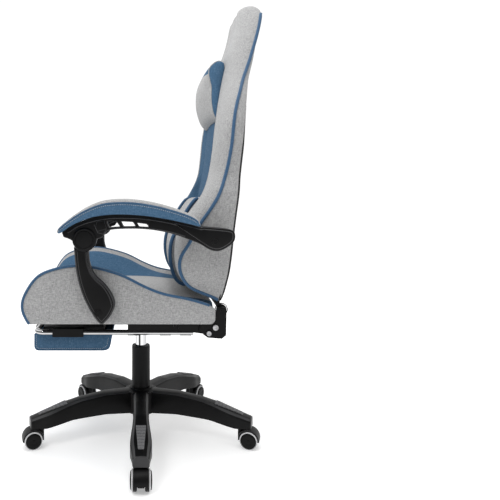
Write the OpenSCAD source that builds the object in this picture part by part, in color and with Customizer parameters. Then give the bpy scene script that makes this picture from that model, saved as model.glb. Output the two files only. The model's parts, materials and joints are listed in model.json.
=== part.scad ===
// Gaming chair: five-star castor base, gas lift, bucket seat, reclining back,
// linked armrests and a sliding, flipping footrest.
// Frame: +Z up, the sitter faces -Y, +X is the sitter's left,
// origin on the floor under the gas lift.

/* [Base] */
// Radius from the column to the tip of a leg
leg_reach = 328; // [310:1:332]
// Radius from the column to a castor stem
stem_reach = 297; // [285:1:300]
// Outer diameter of the column tube
column_d = 54; // [50:1:56]
// Height of the top of the column tube
column_top = 258; // [240:1:262]
// Diameter of a castor wheel
wheel_d = 50; // [46:1:52]
// Distance from a castor's stem to its axle
castor_trail = 23; // [21:1:24]

/* [Gas lift] */
// Diameter of the gas cylinder
cylinder_d = 34; // [28:1:36]
// Height of the underside of the mechanism's socket
socket_z = 304; // [300:1:308]

/* [Seat] */
// Height of the underside of the seat cushion
seat_z = 381; // [378:1:384]
// Overall width of the seat cushion
seat_w = 510; // [480:2:512]
// Inner half width between the seat's side bolsters
seat_well = 190; // [170:1:200]
// Height of the centre of the seat above its underside
seat_centre_h = 64; // [58:1:68]

/* [Backrest] */
// Distance of the recline axis behind the column
recline_y = 208; // [206:1:210]
// Height of the recline axis
recline_z = 412; // [410:1:414]
// Half width of the lumbar pillow
lumbar_half_w = 144; // [130:1:145]
// Half width of the head pillow
head_pillow_half_w = 130; // [110:1:135]

/* [Armrests] */
// Distance of the armrests' inner faces from the middle
arm_inner = 262; // [260:1:266]
// Distance of the armrests' outer faces from the middle
arm_outer = 349.5; // [340:0.5:349.5]

/* [Footrest] */
// Diameter of the footrest's rail tube
rail_d = 14; // [12:1:14]
// Distance of a rail's centre from the middle
rail_x = 175; // [172:1:176]
// Half width of the footrest pad
footrest_half_w = 150; // [130:1:152]

/* [Fits] */
// Radial clearance of a shaft that turns or slides
run_gap = 0.05; // [0.02:0.01:0.08]
// Gap between neighbouring pieces
gap = 0.4; // [0.3:0.1:0.6]

/* [Hidden] */
$fn = 48;

black = "#1d1d1f";
grey_fabric = "#b4b4b4";
blue_fabric = "#48637f";
steel = "#8d9094";
silver = "#d5d7da";

axle_z = wheel_d / 2;
axle_reach = stem_reach + castor_trail;
stem_r = 5.5;
axle_r = 4;
hood_r = axle_z + 4.5;
web_half = 8.5;
wheel_in = web_half + 0.8;
wheel_out = 27;
leg_under_tip = hood_r + axle_z + 1.5;

column_r = column_d / 2;
hub_top = 132;
hub_bottom = 66;
leg_root = 36;
rod_r = 5;
cylinder_r = cylinder_d / 2;
cylinder_low = 100;
taper_r = 14;

frame_t = 13.4;
frame_z = seat_z - gap - frame_t;
frame_half_w = 195;
mech_front = -36;
mech_rear = 148;
lever_pivot = [-42, 360];

seat_half = seat_w / 2;
plate_in = 226;
plate_t = 4;
cover_out = 238;
shaft_r = 6;

rail_r = rail_d / 2;
rail_z = 342;
rail_front = -281;
rail_rear = 139;
rail_bend = 26;
hinge_y = -300;
hinge_z = 328;
hinge_r = 2.5;

// The armrest linkage is a parallelogram with the seat and the back
arm_a = [-106, 417];
arm_link = [-30, 183];
arm_b = arm_a + arm_link;
arm_c = [recline_y, recline_z] + arm_link;
arm_pin_r = 5;
support_t = 24;
arm_frame_in = arm_inner + support_t + gap;
arm_frame_out = arm_frame_in + 34;

// ---- Helpers -------------------------------------------------------------

function unit(v) = v / norm(v);
function turn(a) = a > 180 ? a - 360 : a < -180 ? a + 360 : a;
function xy(p) = [p[0], p[1]];

// One corner b of an outline, given as [x, y, radius], as an arc between a and c
function corner(a, b, c, n) = b[2] == 0 ? [xy(b)] :
    let (u = unit(xy(a) - xy(b)),
         v = unit(xy(c) - xy(b)),
         half = acos(max(-1, min(1, u * v))) / 2,
         m = xy(b) + unit(u + v) * b[2] / sin(half),
         p = xy(b) + u * b[2] / tan(half) - m,
         q = xy(b) + v * b[2] / tan(half) - m,
         from = atan2(p[1], p[0]),
         sweep = turn(atan2(q[1], q[0]) - from))
    [for (i = [0:n]) m + b[2] * [cos(from + sweep * i / n), sin(from + sweep * i / n)]];

// A closed outline whose corners [x, y, radius] are rounded
function rounded(pts, n = 5) = let (k = len(pts))
    [for (i = [0:k - 1]) each corner(pts[(i + k - 1) % k], pts[i], pts[(i + 1) % k], n)];

// A smooth open line through points (Catmull-Rom)
function blend(a, b, c, d, t) = 0.5 * (2 * b + (c - a) * t
    + (2 * a - 5 * b + 4 * c - d) * t * t + (3 * b - a - 3 * c + d) * t * t * t);
function smooth(p, n = 4) = let (k = len(p) - 1)
    concat([for (i = [0:k - 1], j = [0:n - 1])
        blend(p[max(i - 1, 0)], p[i], p[i + 1], p[min(i + 2, k)], j / n)], [p[k]]);

function reversed(p) = [for (i = [len(p) - 1:-1:0]) p[i]];

// A (Y, Z) outline drawn out along X from x0 to x1
module along_x(x0, x1) {
    translate([x0, 0, 0]) rotate([90, 0, 90]) linear_extrude(x1 - x0) children();
}

module rod_x(x0, x1, r, y, z) {
    translate([x0, y, z]) rotate([0, 90, 0]) cylinder(h = x1 - x0, r = r);
}

module rod_y(y0, y1, r, x, z) {
    translate([x, y0, z]) rotate([-90, 0, 0]) cylinder(h = y1 - y0, r = r);
}

// A straight round bar between two points
module bar(a, b, r) {
    d = b - a;
    translate(a) rotate([0, acos(d[2] / norm(d)), atan2(d[1], d[0])]) cylinder(h = norm(d), r = r);
}

// A bent round bar through points, with a slightly larger ball at each bend
module bent_bar(pts, r) {
    for (i = [0:len(pts) - 2]) bar(pts[i], pts[i + 1], r);
    for (i = [1:len(pts) - 2]) translate(pts[i]) sphere(r = r + 0.5);
}

module block(x0, x1, y0, y1, z0, z1) {
    translate([x0, y0, z0]) cube([x1 - x0, y1 - y0, z1 - z0]);
}

module both_sides() {
    children();
    mirror([1, 0, 0]) children();
}

module each_leg() {
    for (i = [0:4]) rotate(72 * i) children();
}

// ---- Base ----------------------------------------------------------------

// A leg's top line, from the hub out to the tip
leg_top = [[leg_root, hub_top + 1], [112, hub_top + 1], [185, 124], [222, 115], [318, 86]];

leg_under = [[leg_reach - 2, leg_under_tip], [284, leg_under_tip], [211, 69], [111, 73],
    [leg_root, hub_bottom + 2]];

module leg_side() {
    polygon(concat(leg_top, [[leg_reach, 78]], leg_under));
}

// Plan of a leg, drawn in from the edge by inset
module leg_plan(inset, x0, x1) {
    edge = smooth([[x0, 24], [150, 21], [200, 22], [245, 26], [275, 27.5], [303, 23], [x1, 20.5]]);
    wall = [for (p = edge) [p[0], p[1] - inset]];
    polygon(concat(wall, [for (p = reversed(wall)) [p[0], -p[1]]]));
}

module leg() {
    intersection() {
        translate([0, 40, 0]) rotate([90, 0, 0]) linear_extrude(80) leg_side();
        linear_extrude(200) leg_plan(0, leg_root, leg_reach);
    }
}

// The hollow under a leg, open below and crossed by ribs
module leg_hollow() {
    difference() {
        intersection() {
            translate([0, 40, 0]) rotate([90, 0, 0]) linear_extrude(80)
                polygon([[50, 20], [50, 122], [112, 122], [185, 113], [222, 104], [268, 88], [268, 20]]);
            linear_extrude(200) leg_plan(4, leg_root, leg_reach);
        }
        for (x = [90:45:225]) block(x, x + 3, -30, 30, 20, 140);
    }
}

module star_base() {
    color(black) difference() {
        union() {
            translate([0, 0, hub_bottom]) cylinder(h = hub_top - hub_bottom, r = 46);
            translate([0, 0, hub_top]) cylinder(h = 6, r = 34);
            each_leg() leg();
        }
        translate([0, 0, hub_bottom - 1]) cylinder(h = 80, r = column_r);
        each_leg() leg_hollow();
        each_leg() translate([stem_reach, 0, 40]) cylinder(h = 42, r = stem_r + run_gap);
    }
}

module leg_inserts() {
    color("#6d6e70") each_leg() intersection() {
        translate([0, 20, 0]) rotate([90, 0, 0]) linear_extrude(40)
            polygon([[224, 114.6], [304, 90.4], [304, 92.4], [300, 94.4], [228, 116.3]]);
        linear_extrude(200) polygon(rounded([[224, -13.5, 3], [304, -7.5, 3], [304, 7.5, 3], [224, 13.5, 3]]));
    }
}

module column_tube() {
    color(black) difference() {
        translate([0, 0, 62]) cylinder(h = column_top - 62, r = column_r);
        translate([0, 0, 66]) cylinder(h = column_top, r = column_r - 2);
        translate([0, 0, 60]) cylinder(h = 10, r = rod_r);
    }
}

module column_clip() {
    color(steel) translate([0, 0, 60]) difference() {
        cylinder(h = 2, r = 10);
        translate([0, 0, -1]) cylinder(h = 4, r = rod_r);
    }
}

module guide_bush() {
    color("#2c2c2e") difference() {
        union() {
            translate([0, 0, 178]) cylinder(h = column_top - 178, r = column_r - 2);
            translate([0, 0, column_top]) cylinder(h = 3, r = column_r - 1);
        }
        translate([0, 0, 170]) cylinder(h = 100, r = cylinder_r + run_gap);
    }
}

module column_bearing() {
    color(steel) translate([0, 0, 66]) difference() {
        cylinder(h = 9, r = 15);
        translate([0, 0, -1]) cylinder(h = 11, r = rod_r + 0.2);
    }
}

module piston_rod() {
    color(silver) translate([0, 0, 58]) cylinder(h = 187, r = rod_r);
}

module gas_cylinder() {
    color(silver) difference() {
        union() {
            translate([0, 0, cylinder_low]) cylinder(h = socket_z - 2 - cylinder_low, r = cylinder_r);
            translate([0, 0, socket_z - 2]) cylinder(h = 46, r = taper_r);
            translate([0, 0, socket_z + 44]) cylinder(h = 3, r = 4);
        }
        translate([0, 0, cylinder_low - 1]) cylinder(h = 161, r = rod_r + run_gap);
    }
}

// ---- Castors -------------------------------------------------------------

module castor_place(i) {
    rotate(72 * (i - 1)) translate([axle_reach, 0, axle_z]) children();
}

// Side outline of the mudguard over the wheels, about the axle
module hood_arc() {
    difference() {
        circle(r = hood_r);
        circle(r = hood_r - 3);
        translate([-50, -60]) square([100, 56]);
    }
}

module castor_hood(i) {
    color(black) castor_place(i) difference() {
        union() {
            rotate([90, 0, 0]) translate([0, 0, -19]) linear_extrude(38) hood_arc();
            rotate([90, 0, 0]) translate([0, 0, -web_half]) linear_extrude(2 * web_half) difference() {
                circle(r = hood_r - 1);
                translate([-50, -60]) square([100, 54]);
            }
            translate([-castor_trail, 0, -4]) cylinder(h = hood_r + 4, r = web_half);
        }
        rotate([90, 0, 0]) translate([0, 0, -20]) cylinder(h = 40, r = axle_r);
        translate([-castor_trail, 0, 10]) cylinder(h = 40, r = stem_r);
    }
}

module castor_pins(i) {
    color(steel) castor_place(i) {
        translate([-castor_trail, 0, 10]) cylinder(h = 45, r = stem_r);
        rotate([90, 0, 0]) translate([0, 0, -23]) cylinder(h = 46, r = axle_r);
    }
}

// One wheel of a pair: the tread and disc, turned about the axle
module wheel(i, side) {
    w = wheel_out - wheel_in;
    color(black) castor_place(i) rotate([side * 90, 0, 0]) translate([0, 0, wheel_in]) difference() {
        rotate_extrude($fn = 64) polygon(rounded([[0, 0, 0], [axle_z - 2, 0, 1], [axle_z, 3, 2],
            [axle_z, w - 5, 3], [axle_z - 2, w, 1], [axle_z - 3.5, w - 1.2, 0], [8, w, 0], [0, w, 0]], 3));
        translate([0, 0, -1]) cylinder(h = w - 2, r = axle_r + run_gap);
    }
}

// ---- Mechanism and seat --------------------------------------------------

module mechanism() {
    color(black) difference() {
        union() {
            block(-80, 80, mech_front, mech_rear, frame_z - 3, frame_z);
            block(-50, 50, mech_front + 6, mech_rear - 28, 326, frame_z - 3);
            translate([0, 0, socket_z]) cylinder(h = frame_z - 3 - socket_z, r = 24);
        }
        translate([0, 0, socket_z - 1]) cylinder(h = 49, r = taper_r + run_gap);
        block(-51, 10, -8, 8, 346, frame_z - 3);
        block(-44, 44, 30, mech_rear - 34, 320, frame_z - 6);
        for (x = [-66, 66], y = [mech_front + 16, mech_rear - 16])
            translate([x, y, frame_z - 4]) cylinder(h = 6, r = 4);
    }
    color(steel) rod_y(-16, 16, 2.5, lever_pivot[0], lever_pivot[1]);
}

module height_lever() {
    bend = [[-48, 0, 357], [-76, 0, 334], [-112, 0, 311], [-262, 0, 306]];
    color(black) difference() {
        union() {
            block(-49, 5, -6, 6, lever_pivot[1] - 2.5, lever_pivot[1] + 2.5);
            rod_y(-6, 6, 5, lever_pivot[0], lever_pivot[1] - 2);
            bent_bar(bend, 4);
            translate([-262, 0, 306]) rotate([0, -90, 0]) linear_extrude(48)
                polygon(rounded([[-5, -13, 4], [4, -13, 4], [4, 13, 4], [-5, 13, 4]]));
        }
        rod_y(-7, 7, 2.5 + run_gap, lever_pivot[0], lever_pivot[1]);
    }
}

// Steel frame under the cushion, with two wide openings for the webbing
module seat_frame() {
    color("#27272a") difference() {
        union() {
            block(-frame_half_w, frame_half_w, -190, 165, frame_z, frame_z + frame_t);
            block(-plate_in, plate_in, 84, 165, frame_z, frame_z + frame_t);
        }
        block(-frame_half_w + 26, frame_half_w - 26, -164, mech_front - 12, frame_z - 1, frame_z + 20);
        for (x = [-66, 66], y = [mech_front + 16, mech_rear - 16])
            translate([x, y, frame_z - 1]) cylinder(h = frame_t + 2, r = 4);
    }
}

module seat_webbing() {
    color("#3a3a3c") for (y = [-158:27:-77])
        block(-frame_half_w + 26, frame_half_w - 26, y, y + 20, frame_z + 6, frame_z + 8);
}

// Side outline of a seat bolster, front bottom to rear bottom
function bolster_top() = smooth([[-282, seat_z], [-299, 418], [-294, 454], [-262, 501],
    [-218, 521], [-165, 530], [-117, 525], [-50, 506], [11, 476], [59, 458], [122, 445], [182, 426]], 3);

// Side outline of the middle of the seat
function centre_top() = smooth([[-280, seat_z], [-294, 416], [-284, 444], [-250, seat_z + seat_centre_h + 6],
    [-100, seat_z + seat_centre_h], [40, seat_z + seat_centre_h - 3], [184, seat_z + 42]], 3);

module seat_cushion() {
    rear = [[186, 412], [181, seat_z]];
    color(grey_fabric) {
        both_sides() along_x(seat_well, seat_half) polygon(concat(bolster_top(), rear));
        along_x(-seat_well, seat_well) polygon(concat(centre_top(), rear));
    }
}

// Side outline shared by the recliner's plate and cover
function recliner_outline(y0) = [[y0, seat_z - gap - 8, 2], [y0, 360, 4], [159, 352, 3], [170, 344, 4],
    [206, 341, 4], [217, 350, 4], [218, 398, 6], [218, 421.5, 9], [198, 421.5, 9], [188, 404, 2],
    [186.5, seat_z - gap, 1], [y0 + 8, seat_z - gap, 2]];

module recliner_plates() {
    color(black) both_sides() difference() {
        along_x(plate_in, plate_in + plate_t) polygon(rounded(recliner_outline(96)));
        rod_x(plate_in - 1, plate_in + plate_t + 1, shaft_r + run_gap, recline_y, recline_z);
    }
}

module recliner_covers() {
    color(black) both_sides() difference() {
        along_x(plate_in + plate_t, cover_out) polygon(rounded(recliner_outline(150)));
        rod_x(plate_in, cover_out + 1, shaft_r + run_gap, recline_y, recline_z);
        for (y = [172:6:208]) rod_x(plate_in, cover_out + 1, 2, y, 340);
    }
}

// Flat spiral spring beside each recliner, wound about the shaft
module recliner_springs() {
    color(steel) both_sides() along_x(214, 218) for (r = [8.5:3.2:17]) difference() {
        translate([recline_y, recline_z]) circle(r = r + 1.6);
        translate([recline_y, recline_z]) circle(r = r - 0.1);
    }
}

module bolt_x(x0, x1, head_r, y, z) {
    difference() {
        rod_x(x0, x1, head_r, y, z);
        translate([x1 - 2, y, z]) rotate([0, 90, 0]) cylinder(h = 3, r = head_r * 0.45, $fn = 6);
    }
}

// Recliner bolts, the front pivot bolts of the armrests and the mechanism's bolts
module seat_fasteners() {
    color(silver) {
        both_sides() bolt_x(cover_out, cover_out + 5, 7, 190, 370);
        both_sides() bolt_x(cover_out, cover_out + 5, 6, 173, 355);
        both_sides() rod_x(seat_half, arm_inner + 16, arm_pin_r, arm_a[0], arm_a[1]);
        for (x = [-66, 66], y = [mech_front + 16, mech_rear - 16])
            translate([x, y, frame_z - 8]) cylinder(h = 5, r = 7, $fn = 6);
    }
}

// Clips under the frame that hold the rails from the inner side
module footrest_guides() {
    color(black) both_sides() {
        block(rail_x - 15, rail_x + 14, -35, mech_rear, rail_z + rail_r + 1, frame_z);
        difference() {
            union() for (y = [-35, 50, 104])
                block(rail_x - 11, rail_x + 1, y, y + 30, rail_z - rail_r - 1.5, rail_z + rail_r + 1);
            rod_y(-40, mech_rear, rail_r + run_gap, rail_x, rail_z);
        }
    }
}

module recline_lever() {
    color(black) {
        rod_x(-270, 240, shaft_r, recline_y, recline_z);
        along_x(-270, -259) difference() {
            polygon(rounded([[recline_y + 12, recline_z + 10, 9], [recline_y + 12, recline_z - 12, 9],
                [150, 398, 20], [62, 396, 7], [62, 412, 7], [150, 414, 20]]));
            translate([recline_y, recline_z]) circle(r = shaft_r - 0.1);
        }
    }
}

// ---- Footrest ------------------------------------------------------------

module footrest_frame() {
    x1 = rail_x - rail_bend;
    color(silver) {
        both_sides() rod_y(rail_front + rail_bend, rail_rear, rail_r, rail_x, rail_z);
        both_sides() translate([x1, rail_front + rail_bend, rail_z]) rotate([0, 0, -90])
            rotate_extrude(angle = 90) translate([rail_bend, 0]) circle(r = rail_r);
        rod_x(-x1, x1, rail_r, rail_front, rail_z);
    }
}

// Knuckles on the front bar and the pin that the pad turns on
module footrest_hinge() {
    color(steel) {
        both_sides() along_x(30, 39) difference() {
            union() {
                translate([rail_front, rail_z]) circle(r = rail_r + 3);
                translate([hinge_y, hinge_z]) circle(r = 5);
                polygon([[hinge_y - 4, hinge_z + 3], [hinge_y + 2, rail_z - rail_r - 2.8],
                    [rail_front, rail_z - rail_r - 2.8], [rail_front, rail_z + 4], [rail_front - 9, rail_z + 4]]);
            }
            translate([rail_front, rail_z]) circle(r = rail_r);
            translate([hinge_y, hinge_z]) circle(r = hinge_r);
        }
        both_sides() rod_x(28, 53, hinge_r, hinge_y, hinge_z);
    }
}

// Board with ears on the hinge pins and trough clips under the rails
module footrest_board() {
    under = rail_z - rail_r - 3.4;
    color(black) difference() {
        union() {
            block(-footrest_half_w + 6, footrest_half_w - 6, -266, -101, under, 350);
            both_sides() block(footrest_half_w - 6, rail_x - rail_r - 1, -235, -153, under, 350);
            both_sides() block(rail_x - rail_r - 4, rail_x + rail_r + 4, -235, -153, under, 353);
            both_sides() block(41, 51, hinge_y, -266, under, under + 1.9);
            both_sides() rod_x(41, 51, 5, hinge_y, hinge_z);
        }
        both_sides() rod_x(40, 52, hinge_r + run_gap, hinge_y, hinge_z);
        both_sides() rod_y(-240, -150, rail_r + gap, rail_x, rail_z);
        both_sides() block(rail_x - rail_r - gap, rail_x + rail_r + gap, -240, -150, rail_z, 360);
    }
}

module footrest_pad() {
    color(blue_fabric) along_x(-footrest_half_w, footrest_half_w)
        polygon(rounded([[-291, 331.4, 1], [-291, 285, 9], [-93, 285, 14], [-82, 331.4, 3]]));
}

// ---- Backrest ------------------------------------------------------------

// Rear outline of the back, from the bottom up
back_rear = [[203, 433], [213, 466], [224, 532], [234, 624], [249, 737], [259, 842], [269, 937],
    [281, 1003], [293, 1045], [304, 1085], [328, 1200]];
back_crown = [[324, 1226], [312, 1243], [297, 1250], [287, 1243], [281, 1228], [276, 1206],
    [270, 1178], [262, 1154], [246, 1115]];

// Front outline of the middle, from the top down
back_centre = [[230, 1069], [208, 900], [196, 800], [185, 708], [163, 560], [158, 480], [170, 458]];

// Front outline of the side bolsters, from the top down
back_wing = [[228, 1066], [203, 905], [195, 832], [185, 769], [161, 712], [134, 674], [100, 625],
    [88, 570], [92, 515], [114, 476], [150, 456], [190, 438]];

// Half outline from the front, from the bottom up
back_half = [[225, 433], [240, 480], [254, 530], [255, 700], [240, 760], [252, 850], [253, 905],
    [232, 965], [196, 1020], [172, 1080], [152, 1160], [130, 1215], [96, 1242], [40, 1250]];

module back_front_view() {
    half = smooth(back_half, 3);
    polygon(concat(half, [for (p = reversed(half)) [-p[0], p[1]]]));
}

// A (Y, Z) outline of the back, kept inside its outline from the front
module back_slab(front, x0, x1) {
    intersection() {
        along_x(x0, x1) polygon(concat(smooth(concat(back_rear, back_crown), 2), smooth(front, 2)));
        translate([0, 400, 0]) rotate([90, 0, 0]) linear_extrude(400) back_front_view();
    }
}

module backrest_cushion() {
    color(grey_fabric) {
        back_slab(back_centre, -146, 146);
        both_sides() back_slab(back_wing, 146, seat_half);
    }
}

// Thin panel that covers the lower back from behind
module back_panel() {
    rear = smooth([for (i = [0:6]) back_rear[i]], 2);
    color(black) intersection() {
        along_x(-248, 248) polygon(concat([for (p = rear) p + [0.3, 0]],
            reversed([for (p = rear) p + [5.5, 0]])));
        translate([0, 400, 0]) rotate([90, 0, 0]) linear_extrude(400) back_front_view();
    }
}

// Square side tubes with round cross tubes, hidden in the foam
module back_frame() {
    outer = [[199, 498], [229, 730], [252, 930]];
    inner = [[246, 880], [262, 1000], [280, 1120]];
    color(steel) {
        both_sides() along_x(196, 212) polygon(concat([for (p = outer) p - [8, 0]],
            reversed([for (p = outer) p + [8, 0]])));
        both_sides() along_x(104, 120) polygon(concat([for (p = inner) p - [8, 0]],
            reversed([for (p = inner) p + [8, 0]])));
        for (p = [[203, 530], [228, 720], [247.5, 892], [250.5, 918]]) rod_x(-200, 200, 6, p[0], p[1]);
        rod_x(-110, 110, 6, 277, 1100);
    }
}

// Plates that turn on the recliner and carry the back's frame
module back_brackets() {
    x0 = 219;
    color(black) both_sides() difference() {
        union() {
            along_x(x0, x0 + 5) polygon(rounded([[196, 400, 9], [219, 400, 9], [219, 420, 5],
                [202.5, 430.5, 2], [216, 512, 5], [196, 512, 6], [188, 440, 6], [196, 424, 3]]));
            along_x(205, x0) polygon(rounded([[196, 470, 3], [206, 470, 3], [213, 506, 3], [196, 506, 3]]));
        }
        rod_x(x0 - 1, x0 + 6, shaft_r + run_gap, recline_y, recline_z);
    }
}

module rear_arm_bolts() {
    color(steel) both_sides() {
        rod_x(seat_half - 30, arm_frame_out - 4, arm_pin_r, arm_c[0], arm_c[1]);
        rod_x(seat_half, arm_frame_in - 2, 9, arm_c[0], arm_c[1]);
    }
}

module lumbar_pillow() {
    color(grey_fabric) along_x(-lumbar_half_w, lumbar_half_w)
        polygon(smooth([[154, 478], [128, 460], [104, 462], [86, 486], [75, 546], [88, 602],
            [128, 674], [156, 707], [181, 700], [160, 562], [154, 500]], 3));
}

module head_pillow() {
    color(blue_fabric) along_x(-head_pillow_half_w, head_pillow_half_w)
        polygon(smooth([[226, 1077], [198, 1082], [177, 1055], [163, 1000], [180, 935], [199, 908],
            [205, 925]], 3));
}

// ---- Armrests ------------------------------------------------------------

// Leaf-shaped support, from its eye at the top to its tip
support_edge = [[-166, 578], [-160, 518], [-147, 468], [-127, 424], [-101, 389], [-84, 398],
    [-70, 418], [-64, 438], [-72, 462], [-88, 485], [-115, 512], [-127, 543], [-129, 572]];

module arm_support() {
    color(black) difference() {
        union() {
            along_x(arm_inner, arm_inner + support_t) polygon(smooth(support_edge, 3));
            rod_x(arm_inner + 1, arm_inner + support_t, 27, arm_b[0], arm_b[1]);
        }
        rod_x(arm_inner - 1, arm_inner + 17, arm_pin_r + run_gap, arm_a[0], arm_a[1]);
        rod_x(arm_inner - 1, arm_inner + support_t + 1, arm_pin_r + run_gap, arm_b[0], arm_b[1]);
    }
}

module arm_pivot_pin() {
    color(steel) rod_x(arm_inner + 2, arm_frame_out - 3, arm_pin_r, arm_b[0], arm_b[1]);
}

// Under-pad line of the armrest from front to rear
arm_under = [[-190, 617], [-166, 634], [-140, 646], [-109, 656], [-63, 661], [-2, 659], [61, 650],
    [120, 637], [145, 630]];

module arm_frame() {
    top = [for (p = smooth(arm_under, 3)) p - [0, gap]];
    tail = [[150, 631], [196, 627], [216, 624], [225, 617], [226, 602], [219, 590], [202, 578], [184, 572],
        [164, 576], [140, 590], [104, 604], [66, 616], [20, 624], [-30, 626], [-78, 622], [-92, 606], [-108, 600],
        [-120, 592], [-150, 588], [-170, 600], [-186, 606]];
    color(black) difference() {
        union() {
            along_x(arm_frame_in, arm_frame_out) polygon(concat(top, smooth(tail, 2)));
            rod_x(arm_frame_in, arm_frame_out + 1, 29, arm_b[0], arm_b[1]);
        }
        rod_x(arm_frame_in - 1, arm_frame_out - 3, arm_pin_r, arm_b[0], arm_b[1]);
        rod_x(arm_frame_in - 1, arm_frame_out - 3, arm_pin_r + 1.5, arm_c[0], arm_c[1]);
        for (y = [-78, -44, -8]) along_x(arm_frame_in - 1, arm_frame_out + 1)
            polygon(rounded([[y, 632, 2], [y + 26, 632, 2], [y + 22, 645, 2], [y - 5, 645, 2]], 3));
    }
}

module arm_pad() {
    under = smooth(arm_under, 3);
    crown = smooth([[141, 632], [138, 645], [120, 660], [72, 678], [26, 690], [-20, 697], [-66, 697],
        [-100, 691], [-140, 672], [-176, 646], [-199, 624], [-196, 612]], 3);
    color(blue_fabric) along_x(arm_inner + 2, arm_outer)
        polygon(concat([for (p = under) if (p[0] < 138) p], crown));
}

module arm_support_left() { arm_support(); }
module arm_support_right() { mirror([1, 0, 0]) arm_support(); }
module arm_pivot_pin_left() { arm_pivot_pin(); }
module arm_pivot_pin_right() { mirror([1, 0, 0]) arm_pivot_pin(); }
module arm_frame_left() { arm_frame(); }
module arm_frame_right() { mirror([1, 0, 0]) arm_frame(); }
module arm_pad_left() { arm_pad(); }
module arm_pad_right() { mirror([1, 0, 0]) arm_pad(); }

// ---- The nodes -----------------------------------------------------------

star_base();
leg_inserts();
column_tube();
column_clip();
guide_bush();
column_bearing();
piston_rod();
gas_cylinder();
mechanism();
height_lever();
seat_frame();
seat_webbing();
seat_cushion();
recliner_plates();
recliner_covers();
recliner_springs();
seat_fasteners();
footrest_guides();
recline_lever();
footrest_frame();
footrest_hinge();
footrest_board();
footrest_pad();
back_frame();
back_brackets();
backrest_cushion();
back_panel();
lumbar_pillow();
head_pillow();
rear_arm_bolts();
arm_support_left();
arm_support_right();
arm_pivot_pin_left();
arm_pivot_pin_right();
arm_frame_left();
arm_frame_right();
arm_pad_left();
arm_pad_right();
castor_hood(1);  // castor_hood_1
castor_hood(2);  // castor_hood_2
castor_hood(3);  // castor_hood_3
castor_hood(4);  // castor_hood_4
castor_hood(5);  // castor_hood_5
castor_pins(1);  // castor_pins_1
castor_pins(2);  // castor_pins_2
castor_pins(3);  // castor_pins_3
castor_pins(4);  // castor_pins_4
castor_pins(5);  // castor_pins_5
wheel(1, 1);  // wheel_1_a
wheel(2, 1);  // wheel_2_a
wheel(3, 1);  // wheel_3_a
wheel(4, 1);  // wheel_4_a
wheel(5, 1);  // wheel_5_a
wheel(1, -1);  // wheel_1_b
wheel(2, -1);  // wheel_2_b
wheel(3, -1);  // wheel_3_b
wheel(4, -1);  // wheel_4_b
wheel(5, -1);  // wheel_5_b
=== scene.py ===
"""Looks of the gaming chair: soft covers, moulded parts, materials, lights and camera."""

import json
import math

import bmesh
import bpy
import numpy as np
from mathutils import Matrix, Vector
from mathutils.geometry import delaunay_2d_cdt


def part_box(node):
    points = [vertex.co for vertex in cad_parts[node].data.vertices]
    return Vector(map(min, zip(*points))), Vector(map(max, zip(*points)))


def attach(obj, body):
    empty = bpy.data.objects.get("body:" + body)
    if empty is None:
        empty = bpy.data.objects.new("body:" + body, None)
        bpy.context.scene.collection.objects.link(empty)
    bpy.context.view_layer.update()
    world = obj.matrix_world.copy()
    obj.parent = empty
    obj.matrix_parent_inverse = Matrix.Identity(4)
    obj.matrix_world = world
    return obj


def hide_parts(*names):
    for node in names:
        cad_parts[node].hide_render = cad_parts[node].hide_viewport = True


MM = 0.001
STITCH_PITCH, STITCH_LENGTH = 5.0, 3.2
CLOTH_FRAMES = 20
SIDES = (("right", 0), ("left", -1))  # each side with its place in a list ordered along X
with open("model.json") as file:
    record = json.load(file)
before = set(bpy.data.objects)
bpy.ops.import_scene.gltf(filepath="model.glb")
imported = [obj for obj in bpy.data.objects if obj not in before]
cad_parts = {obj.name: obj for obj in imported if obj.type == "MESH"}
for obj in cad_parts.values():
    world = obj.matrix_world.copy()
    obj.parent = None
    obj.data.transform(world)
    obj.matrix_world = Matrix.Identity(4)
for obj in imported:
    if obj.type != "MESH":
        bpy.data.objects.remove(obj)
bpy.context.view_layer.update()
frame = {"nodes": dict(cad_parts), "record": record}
scene = bpy.context.scene


# ---- Lines ----


def through(points, per=10):
    """A smooth line (Catmull-Rom) through points, per steps between each pair."""
    p = np.array(points, float)
    p = np.vstack([2 * p[0] - p[1], p, 2 * p[-1] - p[-2]])
    line = []
    for a, b, c, d in zip(p[:-3], p[1:-2], p[2:-1], p[3:]):
        for t in np.arange(per) / per:
            line.append(0.5 * (2 * b + (c - a) * t + (2 * a - 5 * b + 4 * c - d) * t**2
                               + (3 * b - a - 3 * c + d) * t**3))
    return np.vstack([line, p[-2]])


def even(line, count):
    """The same line with count points at equal distances along it."""
    line = np.array(line, float)
    run = np.concatenate([[0], np.cumsum(np.linalg.norm(np.diff(line, axis=0), axis=1))])
    at = np.linspace(0, run[-1], count)
    return np.stack([np.interp(at, run, line[:, k]) for k in range(line.shape[1])], axis=1)


def smoothstep(x, low, high):
    """0 up to low, 1 from high on, and a smooth rise between them."""
    t = np.clip((x - low) / (high - low), 0, 1)
    return t * t * (3 - 2 * t)


def height_curve(points):
    """A function of height from (value, height) points, smooth between them."""
    line = through(points)
    return lambda z: np.interp(z, line[:, 1], line[:, 0])


def both_ways(half):
    """The numbers of half, which starts at zero, and the same numbers below zero, in order."""
    half = np.array(half, float)
    return np.concatenate([-half[:0:-1], half])


def yz(x, line):
    """Points in metres from a (Y, Z) line in millimetres at distance x from the middle."""
    return np.array([[x, p[0], p[1]] for p in line]) * MM


# ---- Meshes ----


def link(name, mesh, mats, body, node=None):
    """A shown piece that rides on a body, and may stand for a CAD node."""
    obj = bpy.data.objects.new(name, mesh)
    scene.collection.objects.link(obj)
    for m in mats if isinstance(mats, list) else [mats]:
        obj.data.materials.append(m)
    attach(obj, body)
    if node:
        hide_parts(node)
    return obj


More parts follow.
